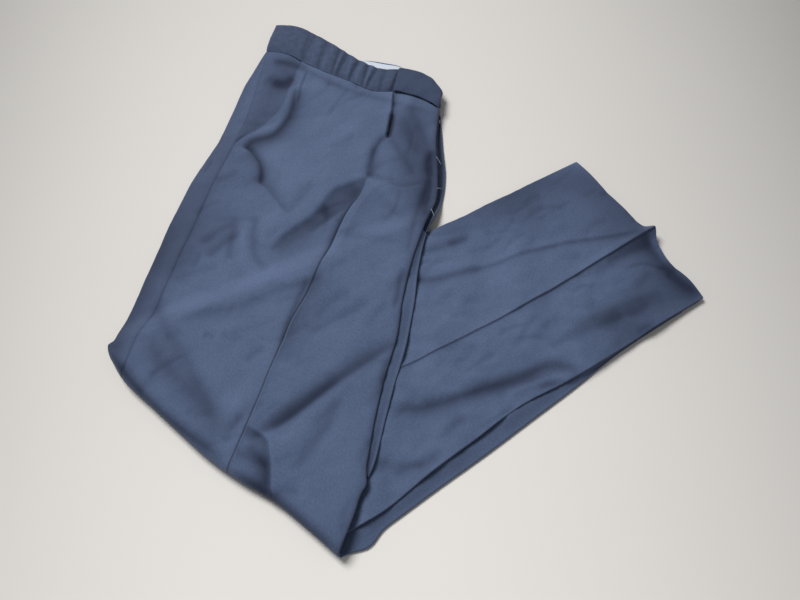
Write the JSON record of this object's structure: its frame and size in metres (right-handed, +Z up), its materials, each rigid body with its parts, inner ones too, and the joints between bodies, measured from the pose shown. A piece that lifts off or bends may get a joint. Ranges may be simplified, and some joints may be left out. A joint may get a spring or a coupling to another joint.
{
  "type": "folded uniform trousers",
  "caption": "Navy serge uniform trousers folded in half lengthwise, leg on leg, then folded under at the knees, lying flat with a gathered waistband and pressed creases.",
  "frame": {"origin": "on the surface the trousers lie on, under the middle of their outline", "axes": "+Z up; +Y away from the knees' fold, towards the waistband; +X towards the hems"},
  "size_m": [0.6186, 0.6648, 0.0195],
  "materials": {
    "navy_serge": "matt twill weave with a faint sheen",
    "pale_facing": "plain weave lining",
    "bright_metal": "bright plated"
  },
  "bodies": {
    "root": {"right_front": "navy_serge", "right_back_side": "navy_serge", "right_hip": "navy_serge", "left_fly_edge": "navy_serge", "left_inseam_edge": "navy_serge", "upper_layers": "navy_serge", "waistband_right": "navy_serge", "waistband_tab": "navy_serge", "waistband_back": "navy_serge", "waistband_facing": "pale_facing", "hook_end": "bright_metal", "left_front": "navy_serge", "right_back_strip": "navy_serge", "lower_layers": "navy_serge", "left_back_hem": "navy_serge", "right_back_hem": "navy_serge", "right_front_hem": "navy_serge"}
  },
  "joints": []
}
